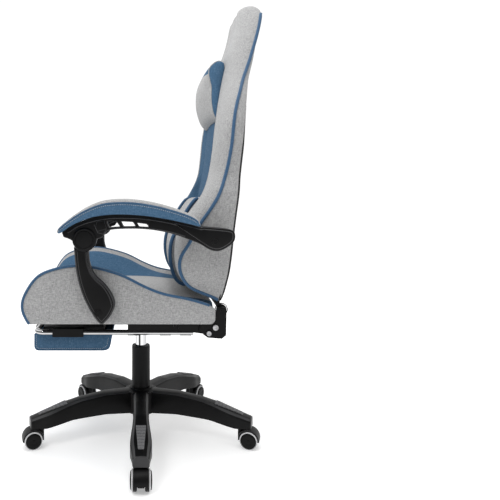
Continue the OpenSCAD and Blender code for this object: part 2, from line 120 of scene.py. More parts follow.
def finish_mesh(mesh, angle=40):
    """Normals outward, smooth shading with sharp edges above the angle."""
    bm = bmesh.new()
    bm.from_mesh(mesh)
    bmesh.ops.recalc_face_normals(bm, faces=bm.faces)
    bm.to_mesh(mesh)
    bm.free()
    for polygon in mesh.polygons:
        polygon.use_smooth = True
    mesh.set_sharp_from_angle(angle=math.radians(angle))
    return mesh


def baked(bm, name):
    """A new mesh from the bmesh, which is freed."""
    mesh = bpy.data.meshes.new(name)
    bm.to_mesh(mesh)
    bm.free()
    return mesh


def ringed(name, verts, sides):
    """A closed mesh from rings of vertices, one after another, each with as many sides."""
    count = len(verts) // sides
    faces = []
    for i in range(count - 1):
        for k in range(sides):
            n = (k + 1) % sides
            faces.append((i * sides + k, i * sides + n, (i + 1) * sides + n, (i + 1) * sides + k))
    faces += [tuple(range(sides)), tuple(range((count - 1) * sides, count * sides))]
    mesh = bpy.data.meshes.new(name)
    mesh.from_pydata(verts, [], faces)
    return mesh


def joined(meshes):
    """One mesh from several."""
    bm = bmesh.new()
    for mesh in meshes:
        bm.from_mesh(mesh)
    return baked(bm, "joined")


def highlight_painted(mesh):
    """The mesh with all its faces in the second material, the painted highlight wherever it is used."""
    for polygon in mesh.polygons:
        polygon.material_index = 1
    return mesh


def turned(mesh, degrees):
    """A copy of the mesh turned about the column."""
    copy = mesh.copy()
    copy.transform(Matrix.Rotation(math.radians(degrees), 4, "Z"))
    return copy


def mirrored(mesh):
    """A copy of the mesh on the chair's other side."""
    copy = mesh.copy()
    copy.transform(Matrix.Scale(-1, 4, (1, 0, 0)))
    copy.flip_normals()
    return copy


def curve_mesh(data):
    """The mesh of a curve."""
    obj = bpy.data.objects.new("curve", data)
    scene.collection.objects.link(obj)
    bpy.context.view_layer.update()
    shown = obj.evaluated_get(bpy.context.evaluated_depsgraph_get())
    mesh = bpy.data.meshes.new_from_object(shown)
    bpy.data.objects.remove(obj)
    bpy.data.curves.remove(data)
    return mesh


def tube(path, radius, closed=False, sides=3):
    """A round tube along a path in metres; radius in millimetres."""
    data = bpy.data.curves.new("tube", "CURVE")
    data.dimensions = "3D"
    data.bevel_depth = radius * MM
    data.bevel_resolution = sides
    data.use_fill_caps = True
    spline = data.splines.new("POLY")
    spline.points.add(len(path) - 1)
    for target, p in zip(spline.points, path):
        target.co = (*p, 1)
    spline.use_cyclic_u = closed
    return finish_mesh(curve_mesh(data), 60)


def inset(outline, distance, hole):
    """The outline moved into the material by a distance."""
    p = np.array(outline, float)
    after, before = np.roll(p, -1, axis=0) - p, p - np.roll(p, 1, axis=0)
    along = after / np.linalg.norm(after, axis=1)[:, None] + before / np.linalg.norm(before, axis=1)[:, None]
    along = along / np.linalg.norm(along, axis=1)[:, None]
    area = np.sum(p[:, 0] * np.roll(p[:, 1], -1) - np.roll(p[:, 0], -1) * p[:, 1])
    sign = 1 if (area > 0) != hole else -1
    return p + np.stack([-along[:, 1], along[:, 0]], axis=1) * distance * sign


def fill_cap(bm, rings):
    """Triangles between rings of vertices in one plane: the first is the outline, the others are holes."""
    verts = [v for ring in rings for v in ring]
    flat = [Vector((v.co.y / MM, v.co.z / MM)) for v in verts]
    edges, start = [], 0
    for ring in rings:
        edges += [(start + k, start + (k + 1) % len(ring)) for k in range(len(ring))]
        start += len(ring)
    a = np.array([flat[i] for i, _ in edges])
    b = np.array([flat[j] for _, j in edges])
    made = delaunay_2d_cdt(flat, edges, [], 0, 1e-6)
    x = verts[0].co.x
    points = [verts[old[0]] if old else bm.verts.new((x, at[0] * MM, at[1] * MM))
              for at, old in zip(made[0], made[3])]
    for corners in made[2]:
        y, z = np.mean([made[0][i] for i in corners], axis=0)
        spans = (a[:, 1] > z) != (b[:, 1] > z)
        with np.errstate(divide="ignore", invalid="ignore"):
            crossing = a[:, 0] + (z - a[:, 1]) / (b[:, 1] - a[:, 1]) * (b[:, 0] - a[:, 0])
        if np.sum(spans & (crossing > y)) % 2:
            bm.faces.new([points[i] for i in corners])


def plate(outlines, x0, x1, bevel, shrink=0.0):
    """A rounded-edge plate from (Y, Z) outlines in millimetres, holes after the first, from x0 to x1. Its
    rounded edges take the second material, a painted highlight.
    """
    bm = bmesh.new()
    angles = np.radians(np.linspace(90, 0, 5))
    section = [(x0 + bevel * (1 - math.sin(a)), bevel * (1 - math.cos(a))) for a in angles]
    section += [(x1 - bevel * (1 - math.sin(a)), bevel * (1 - math.cos(a))) for a in angles[::-1]]
    caps = ([], [])
    for number, outline in enumerate(outlines):
        rings = []
        for x, depth in section:
            moved = inset(outline, depth + shrink, number > 0)
            rings.append([bm.verts.new((x * MM, y * MM, z * MM)) for y, z in moved])
        count = len(outline)
        for step, (lower, upper) in enumerate(zip(rings, rings[1:])):
            for k in range(count):
                n = (k + 1) % count
                face = bm.faces.new((lower[k], lower[n], upper[n], upper[k]))
                # Painted highlight: the rounded edges get the second, lighter material.
                face.material_index = 0 if step == 4 else 1
        for cap, ring in zip(caps, (rings[0], rings[-1])):
            cap.append(ring)
    for cap in caps:
        fill_cap(bm, cap)
    return finish_mesh(baked(bm, "plate"), 50)


def lathe(profile, origin, axis="Z", sides=64, angle=35):
    """A turned part from (radius, height) points in millimetres along an axis through origin."""
    turn = {"Z": Matrix.Identity(3), "X": Matrix.Rotation(math.pi / 2, 3, "Y")}[axis]
    verts = []
    for r, h in profile:
        for k in range(sides):
            a = 2 * math.pi * k / sides
            p = turn @ Vector((r * math.cos(a), r * math.sin(a), h))
            verts.append((p + Vector(origin)) * MM)
    return finish_mesh(ringed("lathe", verts, sides), angle)


def stitches(path, radius=0.55, lift=0.4, towards=(0, 0, 0)):
    """A row of short thread stitches along a path in metres, raised off the cloth."""
    total = np.linalg.norm(np.diff(path, axis=0), axis=1).sum()
    count = max(2, int(total / (STITCH_PITCH * MM)))
    fine = even(path, count * 6) + np.array(towards) * lift * MM
    bm = bmesh.new()
    sides = 6
    for k in range(count - 1):
        first, last = fine[k * 6], fine[k * 6 + 4]
        along = (last - first) / np.linalg.norm(last - first)
        middle = (first + last) / 2
        side = np.cross(along, [0.3, 0.5, 0.8])
        side = side / np.linalg.norm(side)
        up = np.cross(along, side)
        rings = []
        for at, scale in ((-0.5, 0.35), (-0.32, 1), (0.32, 1), (0.5, 0.35)):
            rings.append([bm.verts.new(middle + along * at * STITCH_LENGTH * MM
                                       + (side * math.cos(a) + up * math.sin(a)) * radius * MM * scale)
                          for a in np.arange(sides) * 2 * math.pi / sides])
        for lower, upper in zip(rings, rings[1:]):
            for j in range(sides):
                n = (j + 1) % sides
                bm.faces.new((lower[j], lower[n], upper[n], upper[j]))
        bm.faces.new(rings[0])
        bm.faces.new(rings[-1])
    return finish_mesh(baked(bm, "stitches"), 60)


class Cover:
    """A closed cover from two sheets of the same grid, front and back, that share their side edges.

    front and back are (stations, columns, 3) arrays in metres. A sheet's end is closed by a panel of
    rows, or the two sheets meet there."""

    def __init__(self, front, back, rows=(6, 6), bulge=0.0):
        self.front_grid, self.back_grid = np.array(front), np.array(back)
        self.stations, self.columns = self.front_grid.shape[:2]
        self.verts, self.faces, self.paint, self.pins = [], [], [], {}
        self.front_id = np.zeros((self.stations, self.columns), int)
        self.back_id = np.zeros((self.stations, self.columns), int)
        for s in range(self.stations):
            meet = (s == 0 and not rows[0]) or (s == self.stations - 1 and not rows[1])
            for c in range(self.columns):
                self.front_id[s, c] = self.add(self.front_grid[s, c])
            for c in range(self.columns):
                shared = meet or c in (0, self.columns - 1)
                self.back_id[s, c] = self.front_id[s, c] if shared else self.add(self.back_grid[s, c])
        for s in range(self.stations - 1):
            for c in range(self.columns - 1):
                self.quad(self.front_id, s, c, "front")
                self.quad(self.back_id, s, c, "back")
        for end, count in zip((0, self.stations - 1), rows):
            if count:
                self.close(end, count, bulge)

    def add(self, point):
        self.verts.append(tuple(point))
        return len(self.verts) - 1

    def face(self, corners, label):
        kept = [c for i, c in enumerate(corners) if c not in corners[:i]]
        if len(kept) > 2:
            self.faces.append(tuple(int(c) for c in kept))
            self.paint.append(label)

    def quad(self, ids, s, c, kind):
        self.face([ids[s, c], ids[s + 1, c], ids[s + 1, c + 1], ids[s, c + 1]], (kind, s, c))

    def close(self, end, count, bulge):
        """The panel that closes one end, bulging outward."""
        out = self.front_grid[end].mean(axis=0) - self.front_grid[1 if end == 0 else end - 1].mean(axis=0)
        out = out / (np.linalg.norm(out) + 1e-9)
        ids = [self.front_id[end]]
        for k in range(1, count):
            v = k / count
            row = [self.front_id[end, 0]]
            for c in range(1, self.columns - 1):
                p = (1 - v) * self.front_grid[end, c] + v * self.back_grid[end, c]
                u = c / (self.columns - 1)
                p = p + out * bulge * MM * math.sin(math.pi * v) ** 0.7 * math.sin(math.pi * u) ** 0.5
                row.append(self.add(p))
            row.append(self.front_id[end, -1])
            ids.append(np.array(row))
        ids.append(self.back_id[end])
        grid = np.array(ids)
        for r in range(count):
            for c in range(self.columns - 1):
                self.face([grid[r, c], grid[r + 1, c], grid[r + 1, c + 1], grid[r, c + 1]], ("end", end, r))

    def pin(self, ids, weight=1.0):
        for i in np.ravel(ids):
            self.pins[int(i)] = max(weight, self.pins.get(int(i), 0))

    def rims(self, front, back):
        """Creases along both ends of the front and of the back."""
        return [(ids[k], strength) for ids, strength in ((self.front_id, front), (self.back_id, back))
                for k in (0, -1)]

    def build(self, name, mats, colour, body, node, limit, creases=(), level=1):
        """The piece: painted by colour(kind, station, column), puffed up, then subdivided."""
        mesh = bpy.data.meshes.new(name)
        mesh.from_pydata(self.verts, [], self.faces)
        for polygon, (kind, s, c) in zip(mesh.polygons, self.paint):
            polygon.material_index = colour(kind, s, c)
            polygon.use_smooth = True
        bm = bmesh.new()
        bm.from_mesh(mesh)
        bmesh.ops.recalc_face_normals(bm, faces=bm.faces)
        crease = bm.edges.layers.float.new("crease_edge")
        bm.verts.ensure_lookup_table()
        for line, strength in creases:
            for a, b in zip(line, line[1:]):
                edge = bm.edges.get((bm.verts[int(a)], bm.verts[int(b)])) if a != b else None
                if edge:
                    edge[crease] = strength
        bm.to_mesh(mesh)
        bm.free()
        obj = link(name, mesh, mats, body, node)
        puff(obj, self.pins, limit)
        subdivide(obj, level)
        return obj

    def line(self, obj, ids):
        """Where the vertices ids lie on the finished piece."""
        return np.array([obj.data.vertices[int(i)].co for i in ids])


def puff(obj, pins, limit):
    """Cloth simulation that fills the cover out between its seams; no point moves more than limit."""
    if not limit:
        return
    group = obj.vertex_groups.new(name="seams")
    for index, weight in pins.items():
        group.add([index], weight, "REPLACE")
    cloth = obj.modifiers.new("Cloth", "CLOTH")
    cloth.settings.quality = 6
    cloth.settings.mass = 0.4
    cloth.settings.tension_stiffness = 20
    cloth.settings.compression_stiffness = 20
    cloth.settings.bending_stiffness = 1.0
    cloth.settings.use_pressure = True
    cloth.settings.uniform_pressure_force = 4.0
    cloth.settings.vertex_group_mass = "seams"
    cloth.settings.effector_weights.gravity = 0
    cloth.collision_settings.use_collision = False
    cloth.point_cache.frame_start = 1
    cloth.point_cache.frame_end = CLOTH_FRAMES
    start = np.array([v.co for v in obj.data.vertices])
    for f in range(1, CLOTH_FRAMES + 1):
        scene.frame_set(f)
    shown = obj.evaluated_get(bpy.context.evaluated_depsgraph_get()).to_mesh()
    moved = np.array([v.co for v in shown.vertices]) - start
    obj.modifiers.remove(cloth)
    far = np.linalg.norm(moved, axis=1, keepdims=True) + 1e-9
    capped = start + moved / far * limit * MM * np.tanh(far / (limit * MM))
    obj.data.vertices.foreach_set("co", capped.ravel())
    obj.data.update()
    scene.frame_set(1)


def subdivide(obj, level):
    """Subdivision applied to the mesh."""
    modifier = obj.modifiers.new("Subdivision", "SUBSURF")
    modifier.levels = level
    modifier.render_levels = level
    bpy.context.view_layer.update()
    shown = obj.evaluated_get(bpy.context.evaluated_depsgraph_get())
    mesh = bpy.data.meshes.new_from_object(shown)
    obj.modifiers.remove(modifier)
    old = obj.data
    obj.data = mesh
    bpy.data.meshes.remove(old)


# ---- Materials ----


class Shader:
    """A principled material built node by node."""

    def __init__(self, name, **sockets):
        self.material = bpy.data.materials.new(name)
        self.material.use_nodes = True
        self.tree = self.material.node_tree
        self.principled = self.tree.nodes["Principled BSDF"]
        self.coords = self.tree.nodes.new("ShaderNodeTexCoord").outputs["Object"]
        for socket, value in sockets.items():
            self.principled.inputs[socket.replace("_", " ")].default_value = value

    def node(self, kind, values=(), **props):
        made = self.tree.nodes.new("ShaderNode" + kind)
        for key, value in props.items():
            setattr(made, key, value)
        for key, value in dict(values).items():
            if isinstance(value, bpy.types.NodeSocket):
                self.tree.links.new(value, made.inputs[key])
            else:
                made.inputs[key].default_value = value
        return made

    def noise(self, scale, detail=2.0, stretch=(1, 1, 1), rough=0.5):
        vector = self.node("Mapping", {"Vector": self.coords, "Scale": stretch}).outputs["Vector"]
        return self.node("TexNoise", {"Vector": vector, "Scale": scale, "Detail": detail,
                                      "Roughness": rough}).outputs["Fac"]

    def wave(self, scale, direction):
        return self.node("TexWave", {"Vector": self.coords, "Scale": scale, "Distortion": 0.4},
                         bands_direction=direction).outputs["Fac"]

    def math(self, operation, a, b):
        return self.node("Math", {0: a, 1: b}, operation=operation).outputs["Value"]

    def ramp(self, value, stops):
        made = self.node("ValToRGB", {"Fac": value})
        elements = made.color_ramp.elements
        while len(elements) < len(stops):
            elements.new(0.5)
        for element, (at, colour) in zip(elements, stops):
            element.position = at
            element.color = (*colour, 1)
        return made.outputs["Color"]

    def between(self, value, low, high):
        made = self.node("MapRange", {"Value": value, "To Min": low, "To Max": high})
        return made.outputs["Result"]

    def bump(self, height, strength, distance):
        made = self.node("Bump", {"Height": height, "Strength": strength, "Distance": distance})
        self.tree.links.new(made.outputs["Normal"], self.principled.inputs["Normal"])

    def set(self, socket, value):
        self.tree.links.new(value, self.principled.inputs[socket])


def cloth_material(name, colours, fleck=1.0, sheen=0.25):
    """Heathered woven cloth: threads along each axis, slubs, and a fine weave in the surface."""
    s = Shader(name, Sheen_Weight=sheen, Sheen_Roughness=0.5, Specular_IOR_Level=0.12)
    threads = [s.noise(640 * fleck, 2.0, stretch) for stretch in ((0.16, 1, 1), (1, 0.16, 1), (1, 1, 0.16))]
    heather = s.math("MULTIPLY", s.math("ADD", s.math("ADD", threads[0], threads[1]), threads[2]), 1 / 3)
    slub = s.noise(190, 3.0, rough=0.6)
    tone = s.math("ADD", s.math("MULTIPLY", heather, 0.86), s.math("MULTIPLY", slub, 0.14))
    s.set("Base Color", s.ramp(tone, colours))
    s.set("Roughness", s.between(slub, 0.78, 0.95))
    weave = s.math("ADD", s.math("ADD", s.wave(260, "X"), s.wave(260, "Y")), s.wave(260, "Z"))
    s.bump(s.math("ADD", s.math("MULTIPLY", weave, 0.3), heather), 0.55, 0.0007)
    return s.material


def plastic_material(name, dark, light, rough=(0.36, 0.5), grain=900, strength=0.18, gloss=0.14):
    """Moulded plastic with a fine texture and slightly uneven gloss."""
    s = Shader(name, Specular_IOR_Level=gloss)
    cloud = s.noise(14, 3.0)
    s.set("Base Color", s.ramp(cloud, [(0.3, dark), (0.75, light)]))
    s.set("Roughness", s.between(s.noise(55, 4.0), *rough))
    s.bump(s.noise(grain, 2.0), strength, 0.0003)
    return s.material


def metal_material(name, tones, rough, streak=(1, 1, 1), scale=90):
    """Plated metal with slightly uneven tone and faint streaks in its gloss."""
    s = Shader(name, Metallic=1.0)
    s.set("Base Color", s.ramp(s.noise(scale, 2.0), [(at, (t, t, t * 1.02)) for at, t in tones]))
    brushed = s.noise(240, 2.0, streak)
    s.set("Roughness", s.between(brushed, *rough))
    s.bump(brushed, 0.03, 0.0002)
    return s.material


def chrome_painted_reflection_material(name, axis, low, high, tones, streak):
    """Chrome with painted reflections: its colour runs through bright and dark bands across the tube, the
    way a polished tube reflects a studio.
    """
    s = Shader(name, Metallic=1.0)
    place = s.node("SeparateXYZ", {"Vector": s.coords}).outputs[axis]
    span = {"Value": place, "From Min": low * MM, "From Max": high * MM}
    across = s.node("MapRange", span).outputs["Result"]
    reflection_band_place = s.math("ADD", across, s.math("MULTIPLY", s.noise(30, 1.0, streak), 0.04))
    # Painted reflection: the ramp of tones sets bright and dark bands of colour across the tube.
    s.set("Base Color", s.ramp(reflection_band_place, [(at, (t, t, t * 1.01)) for at, t in tones]))
    s.set("Roughness", s.between(s.noise(160, 2.0, streak), 0.05, 0.12))
    return s.material


def webbing_material():
    """Ribbed elastic webbing."""
    s = Shader("webbing_weave", Sheen_Weight=0.2)
    ribs = s.math("MULTIPLY", s.wave(160, "X"), s.wave(300, "Y"))
    s.set("Base Color", s.ramp(ribs, [(0.1, (0.012, 0.012, 0.013)), (0.9, (0.06, 0.06, 0.064))]))
    s.set("Roughness", s.between(ribs, 0.95, 0.75))
    s.bump(ribs, 0.8, 0.0008)
    return s.material


def gripped_material():
    """Anti-slip plastic: rows of fine raised dots."""
    s = Shader("grip_plastic", Specular_IOR_Level=0.35)
    dots = s.node("TexVoronoi", {"Vector": s.coords, "Scale": 330, "Randomness": 0.25}).outputs["Distance"]
    s.set("Base Color", s.ramp(dots, [(0.15, (0.21, 0.21, 0.215)), (0.75, (0.07, 0.07, 0.073))]))
    s.set("Roughness", s.between(s.noise(70, 3.0), 0.7, 0.85))
    s.bump(s.math("SUBTRACT", 1.0, dots), 0.9, 0.0008)
    return s.material


def stage_material():
    """Near-white matt floor that gives back a little light of its own."""
    s = Shader("studio_floor", Specular_IOR_Level=0.1, Emission_Strength=0.35)
    s.principled.inputs["Emission Color"].default_value = (1, 1, 1, 1)
    s.set("Base Color", s.ramp(s.noise(3, 2.0), [(0.3, (0.9, 0.9, 0.9)), (0.7, (0.93, 0.93, 0.93))]))
    s.set("Roughness", s.between(s.noise(8, 2.0), 0.85, 0.95))
    return s.material


GREY = cloth_material("grey_heather", [(0.34, (0.17, 0.17, 0.171)), (0.5, (0.315, 0.315, 0.316)),
                                       (0.66, (0.48, 0.48, 0.48))])
BLUE = cloth_material("blue_denim", [(0.3, (0.026, 0.062, 0.115)), (0.5, (0.052, 0.112, 0.19)),
                                     (0.72, (0.12, 0.2, 0.3))], sheen=0.0)
PIPING = cloth_material("blue_piping", [(0.3, (0.02, 0.056, 0.115)), (0.7, (0.06, 0.13, 0.23))], 1.6)
LINING = cloth_material("black_lining", [(0.3, (0.006, 0.006, 0.007)), (0.7, (0.03, 0.03, 0.032))],
                        sheen=0.1)
THREAD = cloth_material("seam_thread", [(0.3, (0.25, 0.27, 0.3)), (0.7, (0.5, 0.52, 0.55))], 3.0)
GREY_THREAD = cloth_material("grey_seam_thread", [(0.3, (0.16, 0.16, 0.16)), (0.7, (0.34, 0.34, 0.34))], 3.0)
JET, COAL = (0.002, 0.002, 0.0022), (0.005, 0.005, 0.0053)
BLACK = plastic_material("black_plastic_moulded", JET, COAL)
# Painted highlight: a lighter plastic on rounded edges, beads, ribs, the hub ring and the leg tips, standing
# in for the light these edges catch.
EDGE_PAINTED_HIGHLIGHT = plastic_material("moulded_edge_painted_highlight", (0.03, 0.03, 0.031), (0.055, 0.055, 0.057), (0.3, 0.4))
NYLON = plastic_material("castor_nylon", JET, COAL, (0.28, 0.4), 700, 0.1)
RING = plastic_material("wheel_ring", (0.56, 0.56, 0.57), (0.66, 0.66, 0.67), (0.3, 0.4), 700, 0.1)
GRIP = gripped_material()
POWDER = plastic_material("powder_coat", JET, (0.006, 0.006, 0.0063), (0.4, 0.55), 1400, 0.3)
ZINC = metal_material("zinc_plate", [(0.35, 0.3), (0.65, 0.5)], (0.25, 0.4), (1, 0.2, 1))
# Chrome parts such as the gas lift: painted reflections, bright and dark bands of colour across Y, with a
# near-black band left of the middle.
CHROME_PAINTED_REFLECTIONS = chrome_painted_reflection_material("chrome_plate_painted_reflections", "Y", -14.2, 14.2,
                         [(0, 0.3), (0.1, 0.75), (0.24, 0.8), (0.32, 0.01), (0.4, 0.02), (0.5, 0.55),
                          (0.6, 0.85), (0.78, 0.6), (1, 0.5)], (1, 1, 0.05))
# Footrest rail chrome: painted reflection bands by height, a bright line near the top with a dark band just
# below it and lighter grey further down.
RAIL_PAINTED_REFLECTIONS = chrome_painted_reflection_material("chrome_rail_painted_reflections", "Z", 335.5, 348.5,
                       [(0, 0.2), (0.15, 0.3), (0.35, 0.65), (0.5, 0.25), (0.62, 0.04), (0.7, 0.06),
                        (0.8, 0.75), (0.95, 0.5), (1, 0.2)], (1, 0.05, 1))
WEBBING = webbing_material()

SLOT_MATERIAL = {"black_plastic": BLACK, "castor_plastic": NYLON, "grey_plastic": GRIP,
                 "black_steel": POWDER, "steel": ZINC, "chrome": CHROME_PAINTED_REFLECTIONS, "webbing": WEBBING,
                 "grey_fabric": GREY, "blue_fabric": BLUE, "black_fabric": LINING}


def paint_nodes():
    """Every CAD node that stays shown gets the detailed material of its slot."""
    slot_of = {row["node"]: row["material_slot"] for row in frame["record"]["subparts"]}
    for name, obj in frame["nodes"].items():
        material = RAIL_PAINTED_REFLECTIONS if name == "footrest_frame" else SLOT_MATERIAL[slot_of[name]]
        obj.data.materials.clear()
        obj.data.materials.append(material)


# ---- Seat ----

SEAT_HALF = 255.0
SEAT_SEAMS = (156.0, 224.0)
SEAT_BOTTOM = 381.0
BOLSTER_TOP = [(-282, 381), (-299, 418), (-294, 454), (-262, 501), (-218, 521), (-165, 530), (-117, 525),
               (-50, 506), (11, 476), (59, 458), (122, 445), (182, 426), (187, 412), (187, 390)]
STRIP_FALL, SEAT_CROWN = 10.0, 5.0
CENTRE_TOP = [(-280, 381), (-294, 416), (-284, 444), (-250, 451), (-100, 445), (40, 442), (184, 423),
              (188, 410), (187, 390)]


def seat():
    """Bucket seat: grey centre, blue inner slopes, grey strips on top of the bolsters, grey sides."""
    count = 66
    bolster = even(through(BOLSTER_TOP), count)
    centre = even(through(CENTRE_TOP), count)
    inner, outer = SEAT_SEAMS
    half = np.concatenate([np.linspace(0, inner, 9), np.linspace(inner, outer, 9)[1:],
                           np.linspace(outer, SEAT_HALF, 5)[1:]])
    xs = both_ways(half)
    top, under = [], []
    for x in xs:
        rise = smoothstep(abs(x), inner - 4, outer + 2)
        line = centre * (1 - rise) + bolster * rise
        fall = STRIP_FALL * rise * (1 - smoothstep(abs(x), outer, SEAT_HALF))
        crown = SEAT_CROWN * (1 - smoothstep(abs(x), 0, inner)) - fall
        line[:, 1] += crown * np.clip((line[:, 1] - SEAT_BOTTOM) / 60, 0, 1)
        top.append(yz(x, line))
        floor = np.linspace(line[0], line[-1], count)
        floor[:, 1] = SEAT_BOTTOM + 1
        floor[0], floor[-1] = line[0], line[-1]
        under.append(yz(x, floor))
    cover = Cover(top, under, (10, 10), 5)
    seam_at = {name: [i for i, x in enumerate(xs) if abs(abs(x) - value) < 0.1]
               for name, value in (("inner", inner), ("outer", outer))}
    cover.pin(cover.back_id)
    cover.pin(cover.front_id[[0, -1]])
    cover.pin(cover.front_id[seam_at["inner"]], 0.8)
    cover.pin(cover.front_id[seam_at["outer"]], 0.9)

    def colour(kind, s, c):
        if kind == "back":
            return 2
        if kind == "end":
            return 0
        middle = abs(xs[s] + xs[s + 1]) / 2
        return 1 if inner < middle < outer else 0

    creases = cover.rims(0.9, 0.9)
    creases += [(cover.front_id[k], 0.5) for k in seam_at["inner"] + seam_at["outer"]]
    obj = cover.build("seat_cover", [GREY, BLUE, LINING], colour, "seat", "seat_cushion", 11,
                      creases)
    for side, k in SIDES:
        path = cover.line(obj, cover.front_id[k][:-5])
        link(f"seat_piping_{side}", tube(path, 3.6), PIPING, "seat")
    for name in ("inner", "outer"):
        for n, k in enumerate(seam_at[name]):
            path = cover.line(obj, cover.front_id[k][5:-3])
            sign = 1 if xs[k] > 0 else -1
            shift = np.array([sign * (2.6 if name == "outer" else -2.6) * MM, 0, 0])
            link(f"seat_stitch_{name}_{n}", stitches(path + shift, towards=(0, 0, 1)), GREY_THREAD, "seat")


# ---- Back ----

BACK_LOW, BACK_TOP = 433.0, 1250.0
BACK_CROWN = [(230, 1069), (246, 1115), (260, 1154), (267, 1178), (273, 1206), (276, 1226), (281, 1241),
              (297, 1250)]
BACK_REAR = height_curve([(203, 433), (213, 466), (224, 532), (234, 624), (249, 737), (259, 842), (269, 937),
                          (281, 1003), (293, 1045), (304, 1085), (328, 1200), (324, 1226), (312, 1243),
                          (297, 1250)])
BACK_CENTRE = height_curve([(200, 433), (186, 441), (170, 458), (158, 480), (163, 560), (185, 708),
                            (196, 800), (208, 900)] + BACK_CROWN)
BACK_WING = height_curve([(201, 433), (190, 438), (150, 456), (114, 476), (92, 515), (88, 570), (100, 625),
                          (134, 674), (161, 712), (185, 769), (195, 832), (203, 905)] + BACK_CROWN)
BACK_HALF = height_curve([(225, 433), (240, 480), (254, 530), (255, 700), (240, 760), (252, 850), (253, 905),
                          (232, 965), (196, 1020), (172, 1080), (152, 1160), (130, 1215), (96, 1242),
                          (62, 1250)])
# Where the side piping runs, as a share of the depth from the wing's front to the rear
PIPING_DEPTH = height_curve([(0.9, 433), (0.5, 440), (0.12, 458), (0.05, 500), (0.08, 548), (0.25, 594),
                             (0.41, 682), (0.47, 747), (0.54, 830), (0.54, 915), (0.7, 987), (0.84, 1057),
                             (0.96, 1150), (1.0, 1200), (1.0, 1250)])
PIPING_TURN = 1204.0
BLUE_LOW, BLUE_TOP = 470, 1062
CREST_X, CENTRE_X = 192.0, 147.0
SEGMENTS = (8, 7, 7)


def back_levels():
    """Heights of the back's sections, closer together at both ends."""
    t = np.linspace(0, 1, 84)
    eased = 0.5 - 0.5 * np.cos(math.pi * t)
    return BACK_LOW + (BACK_TOP - BACK_LOW) * (0.55 * t + 0.45 * eased)


def back_front(z):
    """Half section of the front at a height: centre panel, inner slope, then the strip to the piping."""
    rear, middle, wing, half = BACK_REAR(z), BACK_CENTRE(z), BACK_WING(z), BACK_HALF(z)
    above = smoothstep(z, 700, 790)
    crest = min(half - 24, CREST_X) * (1 - above) + 0.55 * half * above
    inner = min(crest - 18, CENTRE_X) * (1 - above) + 0.66 * crest * above
    strip = half - crest
    points = []
    for t in np.linspace(0, 1, SEGMENTS[0] + 1)[:-1]:
        points.append((inner * t, middle + 3 * t * t))
    for t in np.linspace(0, 1, SEGMENTS[1] + 1)[:-1]:
        ease = t * t * (3 - 2 * t)
        points.append((inner + (crest - inner) * t, (middle + 3) * (1 - ease) + wing * ease))
    for t in np.linspace(0, 1, SEGMENTS[2] + 1):
        a = t * math.pi / 2
        depth = (rear - wing) * PIPING_DEPTH(z)
        points.append((crest + strip * math.sin(a), wing + depth * (1 - math.cos(a))))
    return points


def back_rear(z, edge):
    """Half section of the rear at a height, from the middle out to the piping."""
    rear, half = BACK_REAR(z), BACK_HALF(z)
    corner = (half - min(9.0, half * 0.1), rear)
    side, across = SEGMENTS[2], SEGMENTS[0] + SEGMENTS[1]
    points = [(corner[0] * t, rear + 2 - 2 * t * t) for t in np.linspace(0, 1, across + 1)[:-1]]
    for t in np.linspace(0, 1, side + 1):
        a = t * math.pi / 2
        points.append((corner[0] + (edge[0] - corner[0]) * math.sin(a) ** 0.8,
                       corner[1] + (edge[1] - corner[1]) * t))
    return points


def whole_section(half, z):
    """A section in metres from its left half in millimetres."""
    return [(x * MM, y * MM, z * MM) for x, y in [(-x, y) for x, y in half[:0:-1]] + half]


def backrest():
    """High back with wings: blue inner slopes, grey strips, side panels behind the blue piping."""
    front, rear = [], []
    levels = back_levels()
    for z in levels:
        half = back_front(z)
        front.append(whole_section(half, z))
        rear.append(whole_section(back_rear(z, half[-1]), z))
    rear[0], rear[-1] = front[0], front[-1]
    cover = Cover(front, rear, (0, 0))
    last = cover.columns - 1
    seam = (SEGMENTS[2], SEGMENTS[2] + SEGMENTS[1])
    columns = sorted([seam[0], seam[1], last - seam[0], last - seam[1]])
    corner = (SEGMENTS[2], last - SEGMENTS[2])
    cover.pin(cover.front_id[:, [0, last]])
    cover.pin(cover.back_id[:, SEGMENTS[2]:last - SEGMENTS[2] + 1])
    cover.pin(cover.front_id[:, columns], 0.85)
    cover.pin(cover.front_id[[0, 1, -2, -1]])

    def colour(kind, s, c):
        z = (levels[s] + levels[min(s + 1, len(levels) - 1)]) / 2
        if kind == "back":
            return 0
        c = min(c, last - 1 - c)
        return 1 if c >= seam[0] and BLUE_LOW < z < BLUE_TOP else 0

    creases = [(cover.front_id[:, k], 0.8) for k in (0, last)]
    creases += [(cover.front_id[:, k], 0.45) for k in columns]
    creases += [(cover.back_id[:, k], 0.7) for k in corner]
    obj = cover.build("back_cover", [GREY, BLUE], colour, "back", "backrest_cushion", 7,
                      creases)
    turn = int(np.searchsorted(levels, PIPING_TURN))
    around = [*cover.front_id[1:turn, last], *cover.back_id[turn, ::-1], *cover.front_id[turn - 1:0:-1, 0]]
    link("back_piping", tube(cover.line(obj, around), 4.4), PIPING, "back")
    for n, k in enumerate((seam[0], last - seam[0])):
        path = cover.line(obj, cover.front_id[6:-20, k])
        sign = 1 if k > last / 2 else -1
        link(f"back_stitch_{n}", stitches(path + np.array([sign * 2.5 * MM, 0, 0]), towards=(0, -1, 0)),
             GREY_THREAD, "back")


# ---- Pillows ----

LUMBAR_HALF = 142.0
LUMBAR_FRONT = [(156, 498), (150, 474), (128, 461), (108, 464), (92, 484), (83, 515), (80, 545), (83, 578),
                (92, 602), (114, 645), (130, 671), (147, 695), (158, 705), (172, 703)]
LUMBAR_REAR = [(156, 498), (156, 530), (160, 562), (168, 620), (178, 690), (172, 703)]
HEAD_HALF = 126.0
HEAD_FRONT = [(230, 1076), (216, 1083), (202, 1078), (185, 1062), (172, 1034), (168, 1004), (170, 972),
              (178, 945), (185, 930), (198, 918), (211, 915)]


